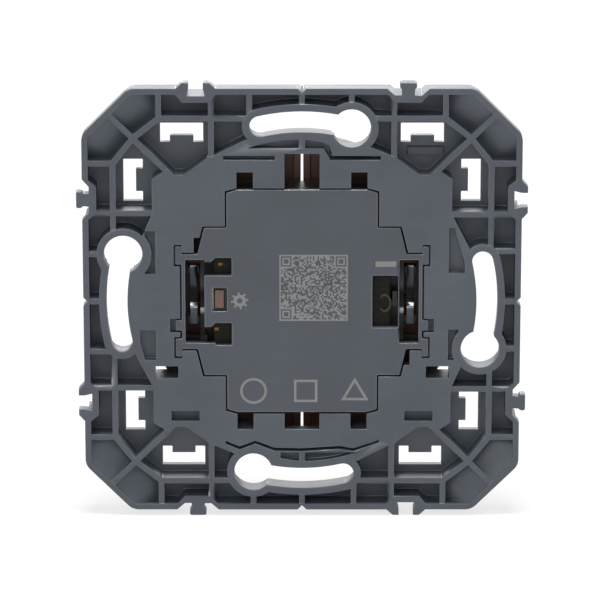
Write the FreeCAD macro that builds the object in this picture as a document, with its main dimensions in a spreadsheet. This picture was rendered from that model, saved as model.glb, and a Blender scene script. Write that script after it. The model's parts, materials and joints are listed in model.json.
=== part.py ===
import FreeCAD, Part
import math
import os
import Sketcher

# Wireless remote wall switch, seen in its own frame in millimetres:
# X to the right as seen from behind, Y from the wall towards the user, Z up.
# The origin is the centre of the wall plane, so nothing lies at a negative Y.
# An inset is a distance from the edge of the frame, a reach a distance beyond the piece inside it.

SIZES = {
    # support frame
    "frame_width": 70.9,
    "corner_cut": 7.65,
    "corner_round": 2.5,
    "frame_depth": 5.2,
    "flange_depth": 2.0,
    "body_step": 0.5,
    "rim_wall": 1.0,
    "floor_thickness": 1.2,
    "rib_width": 0.95,
    "rib_setback": 0.15,
    "left_rib_gap": 1.35,
    "right_rib_gap": 1.15,
    "outer_rib_shift": 0.15,
    # fixing slots
    "slot_circle_radius": 30.0,
    "slot_width": 3.4,
    "slot_end_angle": 13.0,
    "slot_wall": 1.2,
    "keyhole_radius": 3.12,
    "keyhole_angle": 15.4,
    # dovetails and notches of the edges
    "dovetail_inset": 18.4,
    "dovetail_height": 0.95,
    "dovetail_neck": 2.1,
    "dovetail_head": 2.7,
    "dovetail_root": 1.1,
    "dovetail_fit": 0.12,
    "dovetail_slope": 1.25,
    "dovetail_blend": 0.2,
    "hook_width": 1.0,
    "dovetail_bulge": 1.2,
    "notch_width": 1.4,
    "notch_depth": 0.7,
    # corner windows and their pockets
    "grid_inset": 4.95,
    "corner_node_inset": 8.25,
    "window_long_side": 6.95,
    "window_short_side": 3.15,
    "window_edge_inset": 9.7,
    "window_end_inset": 12.55,
    "tab_length": 3.8,
    "tab_depth": 1.1,
    "plateau_inset": 11.25,
    "plateau_corner_inset": 13.45,
    "plateau_bevel": 1.5,
    "dip_inset": 14.25,
    "dip_width": 1.55,
    "dip_rise": 2.7,
    "front_well_inset": 12.05,
    "well_floor": 2.0,
    # recesses of the plateau, by their distance inside the slot walls
    "crescent_width": 1.5,
    "crescent_depth": 1.3,
    "short_crescent_end": 3.5,
    "groove_start": 4.4,
    "groove_end": 12.65,
    "groove_width": 0.7,
    "groove_gap": 2.7,
    "groove_depth": 1.6,
    "slit_width": 0.5,
    "side_recess_gap": 3.4,
    "side_recess_width": 1.7,
    "side_recess_depth": 1.5,
    "side_recess_drop": 1.95,
    "side_recess_rise": 5.65,
    "side_recess_cap": 3.15,
    "keyhole_margin": 0.3,
    "keyhole_recess_tail": 0.9,
    "keyhole_recess_cap": 1.93,
    # rectangular openings between the plateau's corners
    "low_recess_length": 4.6,
    "low_recess_width": 1.7,
    "low_recess_inset": 15.25,
    "low_recess_depth": 1.8,
    "low_recess_side_inset": 14.15,
    # radio module
    "module_half_height": 18.75,
    "module_half_width": 12.2,
    "module_corner": 1.7,
    "module_corner_drop": 0.5,
    "shoulder_height": 12.4,
    "arm_half_height": 8.0,
    "arm_half_width": 19.5,
    "arm_length": 2.6,
    "arm_slope": 1.05,
    "parting_gap": 0.25,
    "cover_setback": 0.1,
    "cover_thickness": 1.2,
    "module_stand": 0.9,
    "tray_wall": 0.6,
    "tray_front_wall": 1.0,
    # windows of the frame beside the module
    "middle_window_half": 2.83,
    "middle_window_gap": 2.4,
    "square_window_inner": 7.9,
    "square_window_side": 2.65,
    "square_window_reach": 2.9,
    "arm_window_reach": 0.65,
    "arm_window_length": 3.8,
    "arm_window_gap": 2.9,
    "arm_window_width": 2.0,
    "wedge_height": 2.5,
    "wedge_reach": 0.6,
    # fingers and catches that hold the cover
    "finger_reach": 1.0,
    "finger_root": 1.8,
    "finger_rise": 1.3,
    "catch_end": 4.9,
    "catch_length": 1.8,
    "catch_room": 0.9,
    # windows of the cover
    "window_rim": 0.6,
    "window_end_rim": 1.0,
    "tall_window_width": 3.1,
    "side_window_width": 4.4,
    "side_window_height": 2.6,
    "lower_window_height": 3.4,
    "side_window_step": 0.35,
    "side_window_step_start": 1.8,
    "side_window_bar": 0.2,
    "setup_window_gap": 1.2,
    "setup_window_width": 2.4,
    "setup_window_bottom": -1.6,
    "setup_window_top": 2.35,
    # board and what it carries
    "board_cover_gap": 0.2,
    "board_thickness": 0.8,
    "board_gap": 0.45,
    "board_bobbin_gap": 0.4,
    "horn_pole_gap": 0.5,
    "horn_margin": 0.3,
    "post_radius": 1.0,
    "post_inset": 1.4,
    "chip_side": 6.0,
    "chip_height": 1.0,
    "chip_board_margin": 4.4,
    "capacitor_radius": 1.3,
    "capacitor_length": 7.0,
    "capacitor_chip_gap": 3.2,
    "antenna_thickness": 0.2,
    "antenna_width": 0.7,
    "antenna_side_gap": 3.4,
    "antenna_board_margin": 0.8,
    "antenna_pitch": 1.9,
    # setup switch
    "switch_wall": 0.3,
    "switch_window_gap": 0.1,
    "switch_rear": 0.6,
    "switch_floor": 0.2,
    "button_rear": 0.35,
    "button_length": 0.65,
    "button_fit": 0.08,
    # generator
    "generator_drop": 3.6,
    "core_thickness": 0.8,
    "core_width": 1.6,
    "core_end_gap": 0.4,
    "bobbin_end_gap": 1.4,
    "bobbin_flange": 0.8,
    "bobbin_wall": 0.5,
    "bobbin_flange_height": 5.0,
    "winding_depth": 0.65,
    "winding_round": 0.52,
    "core_fit": 0.04,
    "pole_gap": 0.42,
    "pole_thickness": 0.6,
    "pole_width": 2.0,
    "pole_overhang": 2.4,
    "magnet_width": 1.9,
    "magnet_gap": 0.5,
    # levers and their springs
    "lever_axis_offset": 0.1,
    "lever_plate": 0.8,
    "lever_arm_width": 1.6,
    "lever_arm_gap": 0.7,
    "lever_arm_tail": 1.0,
    "bar_width": 1.2,
    "bar_gap": 0.7,
    "bar_top_gap": 1.6,
    "bar_bottom_gap": 2.5,
    "bar_bend": 1.2,
    "bar_bend_half": 1.0,
    "bar_bend_rise": 0.7,
    "lever_shaft_radius": 0.5,
    "shaft_fit": 0.05,
    "shaft_overlap": 0.2,
    "bearing_width": 0.8,
    "bearing_gap": 0.35,
    "bearing_rim": 0.5,
    "bearing_half_height": 1.2,
    "spring_width": 0.65,
    "spring_gap": 0.5,
    "spring_end_gap": 1.6,
    "spring_axis_gap": 1.2,
    "spring_thickness": 0.25,
    "spring_bow": 0.3,
    "spring_foot": 1.2,
    "ledge_length": 1.5,
    "ledge_overlap": 0.4,
    # keys, carriers and hinge pins
    "hinge_stand": 1.3,
    "pin_radius": 0.6,
    "pin_fit": 0.03,
    "knuckle_fit": 0.05,
    "knuckle_radius": 1.05,
    "ear_half_height": 1.0,
    "ear_rim": 0.95,
    "ear_width": 1.2,
    "inner_ear": 3.9,
    "outer_ear_gap": 1.4,
    "ear_gap": 0.2,
    "carrier_radius": 26.0,
    "carrier_stand": 0.2,
    "carrier_thickness": 1.2,
    "carrier_rim": 1.2,
    "carrier_rim_height": 0.6,
    "carrier_half_gap": 0.2,
    "leg_width": 1.9,
    "leg_gap": 0.3,
    "leg_room": 0.2,
    "leg_end_gap": 0.5,
    "leg_thickness": 1.2,
    "leg_clearance": 0.3,
    "key_radius": 25.7,
    "key_depth": 2.4,
    "key_front_wall": 1.2,
    "key_wall": 1.0,
    "key_edge_round": 0.6,
}

doc = FreeCAD.newDocument("wall_switch")


class Size:
    # a number together with the formula that the document keeps for it
    def __init__(self, value, text):
        self.value = float(value)
        self.text = text

    def __add__(self, other):
        other = as_size(other)
        return Size(self.value + other.value, "(" + self.text + " + " + other.text + ")")

    def __radd__(self, other):
        return as_size(other) + self

    def __sub__(self, other):
        other = as_size(other)
        return Size(self.value - other.value, "(" + self.text + " - " + other.text + ")")

    def __rsub__(self, other):
        return as_size(other) - self

    def __mul__(self, other):
        other = as_size(other)
        return Size(self.value * other.value, "(" + self.text + " * " + other.text + ")")

    def __rmul__(self, other):
        return as_size(other) * self

    def __truediv__(self, other):
        other = as_size(other)
        return Size(self.value / other.value, "(" + self.text + " / " + other.text + ")")

    def __neg__(self):
        return as_size(-1) * self


def as_size(item):
    if isinstance(item, Size):
        return item
    return Size(item, "(" + repr(item) + ")")


def polar(radius, angle):
    # a point at this angle clockwise from the top
    turn = math.radians(as_size(angle).value)
    text = as_size(angle).text
    across = Size(radius.value * math.sin(turn), "(" + radius.text + " * sin(" + text + "))")
    upward = Size(radius.value * math.cos(turn), "(" + radius.text + " * cos(" + text + "))")
    return across, upward


def leg(radius, other):
    # the other coordinate of a point on a circle round the origin
    other = as_size(other)
    value = math.sqrt(radius.value ** 2 - other.value ** 2)
    return Size(value, "sqrt(" + radius.text + "^2 - " + other.text + "^2)")


class Sheet:
    # the spreadsheet, and each of its sizes under its own name
    def __init__(self, sizes):
        table = doc.addObject("Spreadsheet::Sheet", "Sizes")
        for row, (name, value) in enumerate(sizes.items(), start=1):
            cell = "B" + str(row)
            table.set("A" + str(row), name)
            table.set(cell, repr(value))
            table.setAlias(cell, name)
            setattr(self, name, Size(value, "Sizes." + name))


d = Sheet(SIZES)
doc.recompute()

WALL = "XZ_Plane"
SIDE = "YZ_Plane"


def origin_feature(body, role):
    for item in body.Origin.OriginFeatures:
        if item.Role == role:
            return item
    raise ValueError(role)


def new_body(label):
    body = doc.addObject("PartDesign::Body", label)
    body.Label = label
    return body


def circle_centre(start, end, radius, turn):
    # centre of the arc of this radius that turns left (1) or right (-1) from start to end
    half_x = (end[0] - start[0]) / 2
    half_y = (end[1] - start[1]) / 2
    half = math.hypot(half_x, half_y)
    rise = math.sqrt(max(radius ** 2 - half ** 2, 0.0))
    return (start[0] + half_x - turn * half_y * rise / half,
            start[1] + half_y + turn * half_x * rise / half)


def add_loop(sketch, corners, bound):
    # A corner is (across, upward), or (across, upward, radius, turn) where an arc leaves it.
    first = sketch.GeometryCount
    places = [(as_size(corner[0]).value, as_size(corner[1]).value) for corner in corners]
    starts = []
    ends = []
    for index, corner in enumerate(corners):
        here = places[index]
        there = places[(index + 1) % len(places)]
        if len(corner) == 2:
            line = Part.LineSegment(FreeCAD.Vector(*here, 0), FreeCAD.Vector(*there, 0))
            sketch.addGeometry(line)
            starts.append(1)
            ends.append(2)
            continue
        radius, turn = as_size(corner[2]), corner[3]
        centre = circle_centre(here, there, radius.value, turn)
        near, far = (here, there) if turn > 0 else (there, here)
        low = math.atan2(near[1] - centre[1], near[0] - centre[0])
        high = math.atan2(far[1] - centre[1], far[0] - centre[0])
        if high < low:
            high += 2 * math.pi
        circle = Part.Circle(FreeCAD.Vector(*centre, 0), FreeCAD.Vector(0, 0, 1), radius.value)
        sketch.addGeometry(Part.ArcOfCircle(circle, low, high))
        starts.append(1 if turn > 0 else 2)
        ends.append(2 if turn > 0 else 1)
        bound.append((Sketcher.Constraint("Radius", first + index, radius.value), radius.text))
    count = len(corners)
    for index, corner in enumerate(corners):
        edge = first + index
        following = (index + 1) % count
        join = Sketcher.Constraint("Coincident", edge, ends[index], first + following, starts[following])
        bound.append((join, None))
        for kind, size in (("DistanceX", as_size(corner[0])), ("DistanceY", as_size(corner[1]))):
            rule = Sketcher.Constraint(kind, -1, 1, edge, starts[index], size.value)
            bound.append((rule, size.text))


def add_circle(sketch, across, upward, radius, bound):
    across, upward, radius = as_size(across), as_size(upward), as_size(radius)
    centre = FreeCAD.Vector(across.value, upward.value, 0)
    edge = sketch.addGeometry(Part.Circle(centre, FreeCAD.Vector(0, 0, 1), radius.value))
    bound.append((Sketcher.Constraint("Radius", edge, radius.value), radius.text))
    for kind, size in (("DistanceX", across), ("DistanceY", upward)):
        bound.append((Sketcher.Constraint(kind, -1, 1, edge, 3, size.value), size.text))


def draw(body, name, shapes, level, plane):
    # shapes: lists of corners, and circles as ("circle", across, upward, radius)
    sketch = body.newObject("Sketcher::SketchObject", body.Name + "_" + name + "_sketch")
    sketch.AttachmentSupport = [(origin_feature(body, plane), "")]
    sketch.MapMode = "FlatFace"
    level = as_size(level)
    if plane == WALL:
        level = -level
    sketch.AttachmentOffset = FreeCAD.Placement(FreeCAD.Vector(0, 0, level.value), FreeCAD.Rotation())
    sketch.setExpression("AttachmentOffset.Base.z", level.text)
    bound = []
    for shape in shapes:
        if shape[0] == "circle":
            add_circle(sketch, *shape[1:], bound)
        else:
            add_loop(sketch, shape, bound)
    sketch.addConstraint([rule for rule, text in bound])
    for index, (rule, text) in enumerate(bound):
        if text is not None:
            sketch.setExpression("Constraints[" + str(index) + "]", text)
    sketch.Visibility = False
    return sketch


def pad(body, name, shapes, level, length, plane=WALL):
    # a prism that grows along the plane's positive row axis from this level
    feature = body.newObject("PartDesign::Pad", body.Name + "_" + name)
    feature.Profile = draw(body, name, shapes, level, plane)
    length = as_size(length)
    feature.Length = length.value
    feature.setExpression("Length", length.text)
    feature.Reversed = plane == WALL
    body.Tip = feature
    return feature


def cut(body, name, shapes, level, length, plane=WALL):
    # a prism taken away, along the plane's positive row axis from this level
    feature = body.newObject("PartDesign::Pocket", body.Name + "_" + name)
    feature.Profile = draw(body, name, shapes, level, plane)
    length = as_size(length)
    feature.Length = length.value
    feature.setExpression("Length", length.text)
    feature.Reversed = plane != WALL
    body.Tip = feature
    return feature


def four_times(body, name):
    # the whole shape so far, on all four sides of the square
    pattern = body.newObject("PartDesign::PolarPattern", body.Name + "_" + name)
    pattern.TransformMode = "Whole shape"
    pattern.Axis = (origin_feature(body, "Y_Axis"), [""])
    pattern.Angle = 360
    pattern.Occurrences = 4
    body.Tip = pattern
    return pattern


def edges_where(feature, wanted):
    # names of the edges for which wanted(first end, last end) is true
    names = []
    for index, edge in enumerate(feature.Shape.Edges, start=1):
        ends = [vertex.Point for vertex in edge.Vertexes]
        if len(ends) == 2 and wanted(ends[0], ends[1]):
            names.append("Edge" + str(index))
    return names


def round_edges(body, name, radius, wanted):
    doc.recompute()
    base = body.Tip
    names = edges_where(base, wanted)
    feature = body.newObject("PartDesign::Fillet", body.Name + "_" + name)
    feature.Base = (base, names)
    feature.Radius = radius.value
    feature.setExpression("Radius", radius.text)
    body.Tip = feature
    return feature


def bevel_edges(body, name, size, wanted):
    doc.recompute()
    base = body.Tip
    names = edges_where(base, wanted)
    feature = body.newObject("PartDesign::Chamfer", body.Name + "_" + name)
    feature.Base = (base, names)
    feature.Size = size.value
    feature.setExpression("Size", size.text)
    body.Tip = feature
    return feature


def runs_along_y(first, last):
    return abs(first.x - last.x) < 1e-6 and abs(first.z - last.z) < 1e-6


def box(low_x, high_x, low_z, high_z):
    # four corners, in the order that keeps the loop closed
    return [(low_x, low_z), (high_x, low_z), (high_x, high_z), (low_x, high_z)]


def sided(side, low, high):
    # a span of distances from the middle, as low and high on the left (-1) or right (1)
    if side > 0:
        return low, high
    return -high, -low


# Shared places of the frame
root_two = math.sqrt(2)
frame_half = d.frame_width / 2
floor_rear = d.frame_depth - d.floor_thickness
half_rib = d.rib_width / 2
grid = frame_half - d.grid_inset
window_end = frame_half - d.window_end_inset
window_start = window_end - d.window_long_side
window_line = frame_half - d.window_edge_inset
left_rib = window_start - d.left_rib_gap
right_rib = window_start - d.right_rib_gap
outer_rib = window_end + d.outer_rib_shift
plateau_edge = frame_half - d.plateau_inset
plateau_corner = frame_half - d.plateau_corner_inset
slot_inside = d.slot_circle_radius - d.slot_width / 2 - d.slot_wall
slot_end_x, slot_end_z = polar(d.slot_circle_radius, -d.slot_end_angle)
keyhole_x, keyhole_z = polar(d.slot_circle_radius, d.keyhole_angle)

# Shared places of the radio module
arm_root = d.arm_half_width - d.arm_length
shoulder_end = arm_root - d.arm_slope
cover_front = d.cover_setback + d.cover_thickness
module_front = d.frame_depth + d.module_stand
tray_floor = module_front - d.tray_front_wall
tall_outer = d.arm_half_width - d.window_rim
tall_inner = tall_outer - d.tall_window_width
tall_half = d.arm_half_height - d.window_end_rim

# Shared places of the generator and the keys, from the tall windows inwards
room_middle = (cover_front + tray_floor) / 2
lever_axis = room_middle - d.lever_axis_offset
leg_outer = tall_outer - d.leg_gap
leg_inner = leg_outer - d.leg_width
bar_outer = tall_outer - d.bar_gap
bar_inner = bar_outer - d.bar_width
bar_top = tall_half - d.bar_top_gap
bar_bottom = tall_half - d.bar_bottom_gap
spring_outer = bar_inner - d.spring_gap
spring_inner = spring_outer - d.spring_width
spring_rear = lever_axis - d.spring_axis_gap
bearing_outer = spring_inner - d.bearing_gap
bearing_inner = bearing_outer - d.bearing_width
magnet_outer = bearing_inner - d.magnet_gap
magnet_inner = magnet_outer - d.magnet_width
pole_inner = magnet_inner - d.pole_overhang
generator_height = d.shoulder_height - d.generator_drop
pole_bottom = generator_height - d.pole_width / 2
hinge = module_front + d.hinge_stand
outer_ear = bearing_outer - d.outer_ear_gap - d.ear_width
carrier_rear = hinge + d.carrier_stand
carrier_rim_rear = carrier_rear - d.carrier_rim_height
carrier_front = carrier_rear + d.carrier_thickness

# Shared places of the board
board_rear = cover_front + d.board_cover_gap
board_front = board_rear + d.board_thickness
board_low = -(d.module_half_height - d.tray_wall - d.board_gap)
board_top = generator_height - d.bobbin_flange_height / 2 - d.board_bobbin_gap


def quarter(inset):
    # one side's quarter of the frame's outline, moved inwards on its edges
    half = frame_half - inset
    corner = half - (d.corner_cut - inset * (2 - root_two))
    middle = (half + corner) / 2
    return [(0, 0), (-middle, middle), (-corner, half), (corner, half), (middle, middle)]


def module_outline(grow):
    # the radio module seen from behind, with its side arms
    top = d.module_half_height + grow
    width = d.module_half_width + grow
    shoulder = d.shoulder_height + grow
    arm = d.arm_half_height + grow
    upper = [(d.module_half_width - d.module_corner + grow * (root_two - 1), top),
             (width, top - d.module_corner_drop),
             (width, shoulder),
             (shoulder_end + grow, shoulder),
             (arm_root + grow, arm),
             (d.arm_half_width + grow, arm)]
    right = upper + [(x, -z) for x, z in reversed(upper)]
    return right + [(-x, z) for x, z in reversed(right)]


def turned(loop):
    # the same loop after half a turn about the middle
    return [(-corner[0], -corner[1]) + tuple(corner[2:]) for corner in loop]


def slot_band(grow):
    # the curved part of a fixing slot, between its end and its keyhole
    outer = d.slot_circle_radius + d.slot_width / 2 + grow
    inner = d.slot_circle_radius - d.slot_width / 2 - grow
    start = -d.slot_end_angle
    end = d.keyhole_angle
    return [polar(outer, start) + (outer, -1), polar(outer, end),
            polar(inner, end) + (inner, 1), polar(inner, start)]


def slot_end(grow):
    return ("circle", slot_end_x, slot_end_z, d.slot_width / 2 + grow)


def keyhole(grow):
    return ("circle", keyhole_x, keyhole_z, d.keyhole_radius + grow)


def corner_window():
    # opening in a pocket floor on the left of the top side, with a tab from its inner edge
    high = window_line + d.window_short_side
    middle = -(window_start + window_end) / 2
    tab = d.tab_length / 2
    tip = window_line + d.tab_depth
    return [(-window_end, window_line), (middle - tab, window_line), (middle - tab, tip), (middle + tab, tip),
            (middle + tab, window_line), (-window_start, window_line), (-window_start, high), (-window_end, high)]


def plateau_quarter():
    # one side of the raised middle of the frame, which meets the walls of its fixing slot
    bevel = plateau_corner - d.plateau_bevel
    return [(0, 0),
            (-plateau_corner, plateau_corner),
            (-bevel, plateau_edge),
            (-left_rib, plateau_edge),
            (slot_end_x - d.slot_width / 2 - half_rib, slot_inside),
            (0, slot_inside + d.slot_wall / 2),
            (keyhole_x + d.keyhole_radius, keyhole_z - d.keyhole_radius),
            (right_rib, plateau_edge),
            (bevel, plateau_edge),
            (plateau_corner, plateau_corner)]


def window_dip(across, upward):
    # the plateau gives way below a window of the top or bottom side, beside the diagonal rib
    low = frame_half - d.dip_inset
    rib_edge = half_rib * root_two
    near = low - rib_edge
    end = right_rib + half_rib
    loop = [(near, low), (near - d.dip_width, low), (end, low + d.dip_rise), (end, window_line),
            (window_line - rib_edge, window_line)]
    return [(x * across, z * upward) for x, z in loop]


def slanted_rib(start, end):
    # a rib of the standard width between two points
    x, z = as_size(start[0]), as_size(start[1])
    far_x, far_z = as_size(end[0]), as_size(end[1])
    length = math.hypot(far_x.value - x.value, far_z.value - z.value)
    across = (far_z.value - z.value) / length
    along = (far_x.value - x.value) / length
    off_x = d.rib_width * (across / 2)
    off_z = d.rib_width * (along / 2)
    return [(x - off_x, z + off_z), (far_x - off_x, far_z + off_z),
            (far_x + off_x, far_z - off_z), (x + off_x, z - off_z)]


def make_support_frame():
    # One quarter of the square is modelled first, with all that its side has, and then repeated.
    body = new_body("support_frame")
    depth = d.frame_depth
    pad(body, "inner_block", [quarter(d.body_step)], 0, depth)
    pad(body, "flange", [quarter(as_size(0))], 0, d.flange_depth)
    corner_x = (frame_half - d.corner_cut).value
    round_edges(body, "corner_rounding", d.corner_round,
                lambda a, b: runs_along_y(a, b) and abs(abs(a.x) - corner_x) < 1)
    cut(body, "rear_hollow", [quarter(d.rim_wall)], 0, floor_rear)
    pad(body, "plateau", [plateau_quarter()], 0, floor_rear)

    # walls round the fixing slot, and ribs
    wall = d.slot_wall
    rib_level = d.rib_setback
    rib_length = floor_rear - rib_level
    rim = frame_half - d.rim_wall / 2
    node = frame_half - d.corner_node_inset
    diagonal_end = frame_half - d.corner_cut / 2 - d.rim_wall / 2
    slot_rib = slot_end_x - d.slot_width / 2
    slot_outside = d.slot_circle_radius + d.slot_width / 2
    uprights = [(-outer_rib, grid), (-left_rib, plateau_edge), (slot_rib, slot_outside - d.slot_wall),
                (0, slot_outside), (keyhole_x, slot_outside), (right_rib, plateau_edge), (outer_rib, grid)]
    ribs = [box(place - half_rib, place + half_rib, low, rim) for place, low in uprights]
    rails = [box(-outer_rib, slot_rib, grid - half_rib, grid + half_rib),
             box(keyhole_x + d.keyhole_radius, outer_rib, grid - half_rib, grid + half_rib)]
    ties = [slanted_rib((-outer_rib, grid), (-node, node)), slanted_rib((node, node), (outer_rib, grid))]
    diagonal = slanted_rib((-plateau_corner, plateau_corner), (-diagonal_end, diagonal_end))
    pad(body, "slot_wall", [slot_band(wall)], 0, floor_rear)
    pad(body, "slot_end_wall", [slot_end(wall)], 0, floor_rear)
    pad(body, "keyhole_wall", [keyhole(wall)], 0, floor_rear)
    pad(body, "upright_ribs", ribs, rib_level, rib_length)
    pad(body, "rails", rails, rib_level, rib_length)
    pad(body, "corner_ties", ties, rib_level, rib_length)
    pad(body, "diagonal_rib", [diagonal], rib_level, rib_length)

    # dovetail socket on the left of the side, dovetail tongue on the right
    place = frame_half - d.dovetail_inset
    edge = frame_half
    tip = edge + d.dovetail_height
    beyond = tip + d.dovetail_height
    root = edge - d.dovetail_root
    neck = d.dovetail_neck / 2
    head = d.dovetail_head / 2
    fit = d.dovetail_fit
    blend = d.dovetail_blend
    hook = neck + fit + d.hook_width
    foot = hook + d.dovetail_slope
    bulge_high = edge - d.rim_wall + blend
    bulge_low = root - d.dovetail_bulge
    bulges = []
    for middle in (-place, place):
        bulges.append([(middle - foot, bulge_high), (middle - hook, bulge_low),
                       (middle + hook, bulge_low), (middle + foot, bulge_high)])
    pad(body, "bulges", bulges, 0, floor_rear)
    pad(body, "socket_hooks", [[(-place - foot, edge - blend), (-place - hook, tip),
                                (-place + hook, tip), (-place + foot, edge - blend)]], 0, d.flange_depth)
    socket = [(-place - neck - fit, beyond), (-place - neck - fit, edge), (-place - head - fit, root - fit),
              (-place + head + fit, root - fit), (-place + neck + fit, edge), (-place + neck + fit, beyond)]
    recess = [(place - foot, beyond), (place - foot, edge), (place - hook, root),
              (place + hook, root), (place + foot, edge), (place + foot, beyond)]
    notch = [(-d.notch_width / 2, edge), (0, edge - d.notch_depth), (d.notch_width / 2, edge),
             (d.notch_width / 2, beyond), (-d.notch_width / 2, beyond)]
    cut(body, "edge_cuts", [socket, recess, notch], 0, depth)
    half_tongue = [(neck, root - blend), (neck, edge - blend), (head, edge + blend),
                   (head, tip - blend), (head - blend, tip)]
    tongue = [(place - x, z) for x, z in half_tongue] + [(place + x, z) for x, z in reversed(half_tongue)]
    pad(body, "tongue", [tongue], 0, d.flange_depth)

    # corner windows, and the slot with its wider front part
    window = corner_window()
    cut(body, "corner_windows", [window, [(-x, z) for x, z in window]], 0, depth)
    step = d.body_step
    clear = depth - d.flange_depth
    for name, shape in (("slot", slot_band), ("slot_end", slot_end), ("keyhole", keyhole)):
        cut(body, name, [shape(as_size(0))], 0, depth)
        cut(body, name + "_step", [shape(step)], d.flange_depth, clear)
    four_times(body, "four_sides")
    cut(body, "window_dips", [window_dip(1, 1), window_dip(-1, 1), window_dip(1, -1), window_dip(-1, -1)],
        0, floor_rear)
    cut_module_side(body)
    cut_plateau_recesses(body)
    return body


def cover_fingers(grow):
    # the two fingers of each side of the cover, which reach over the frame beside its arms
    loops = []
    for side in (-1, 1):
        low_x, high_x = sided(side, d.arm_half_width, d.arm_half_width + d.finger_reach + grow)
        low = d.arm_half_height - d.finger_root - grow
        high = d.arm_half_height + d.finger_rise + grow
        loops.append(box(low_x, high_x, low, high))
        loops.append(box(low_x, high_x, -high, -low))
    return loops


def cover_catches(room, grow):
    # the short catch of each side, with this much more room in the frame
    loops = []
    for side in (-1, 1):
        low_x, high_x = sided(side, d.arm_half_width, d.arm_half_width + d.finger_reach + room)
        loops.append(box(low_x, high_x, -(d.catch_end + grow), d.catch_length - d.catch_end + grow))
    return loops


def cut_module_side(body):
    # what the frame leaves open for the radio module and behind the keys
    depth = d.frame_depth
    gap = d.parting_gap
    low = d.module_half_height
    square_end = low + d.square_window_reach
    middle_end = slot_inside - d.middle_window_gap
    middle = d.middle_window_half
    windows = [box(-middle, middle, low, middle_end), box(-middle, middle, -square_end, -low)]
    arm_windows = []
    wedges = []
    for side in (-1, 1):
        x_low, x_high = sided(side, d.square_window_inner, d.square_window_inner + d.square_window_side)
        windows.append(box(x_low, x_high, low, square_end))
        windows.append(box(x_low, x_high, -square_end, -low))
        start = d.arm_half_width + d.arm_window_reach
        arm_low = -(d.arm_half_height + d.arm_window_gap)
        x_low, x_high = sided(side, start, start + d.arm_window_length)
        arm_windows.append(box(x_low, x_high, arm_low - d.arm_window_width, arm_low))
        x_low, x_high = sided(side, shoulder_end, arm_root + d.wedge_reach)
        near = d.arm_half_height + gap
        far = near + d.wedge_height
        wedges.append(box(x_low, x_high, near, far) if side < 0 else box(x_low, x_high, -far, -near))
    cut(body, "arm_windows", arm_windows, 0, depth)
    cut(body, "module_opening", [module_outline(gap)], 0, depth)
    cut(body, "beside_windows", windows, 0, depth)
    cut(body, "wedges", wedges, 0, depth)
    cut(body, "key_well", [("circle", 0, 0, frame_half - d.front_well_inset)], d.well_floor, depth - d.well_floor)
    cut(body, "finger_notches", cover_fingers(gap), 0, cover_front + gap)
    cut(body, "catch_notches", cover_catches(d.catch_room, gap), 0, cover_front + gap)


def keyhole_recess():
    # beside a keyhole wall on the left side, at full height
    ring = d.keyhole_radius + d.slot_wall + d.keyhole_margin
    inner = slot_inside - d.side_recess_gap
    outer = inner + d.side_recess_width
    rise = leg(ring, keyhole_z - outer)
    low = keyhole_x - rise - d.keyhole_margin
    high = keyhole_x + rise + d.keyhole_recess_tail
    return [(-outer, high), (-outer, keyhole_x + rise, ring, -1), (-outer, keyhole_x - rise),
            (-outer, low), (-inner, low), (-inner, high)]


def short_keyhole_recess():
    # its shorter fellow, drawn on the same side
    ring = d.keyhole_radius + d.slot_wall + d.keyhole_margin
    inner = slot_inside - d.side_recess_gap
    outer = inner + d.side_recess_width
    rise = leg(ring, keyhole_z - outer)
    low = keyhole_x - rise - d.keyhole_margin
    high = keyhole_x + d.keyhole_recess_cap
    return [(-outer, keyhole_x - rise), (-outer, low), (-inner, low), (-inner, high),
            (leg(ring, d.keyhole_recess_cap) - keyhole_z, high, ring, -1)]


def slot_end_recess(height, taper):
    # beside the end wall of a slot on the right side
    inner = slot_inside - d.side_recess_gap
    outer = slot_end_z - d.slot_width / 2 - d.slot_wall
    middle = -slot_end_x
    low = middle - d.side_recess_drop
    return [(inner, low), (outer, low), (outer, middle), (outer - taper, middle + height), (inner, middle + height)]


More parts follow.
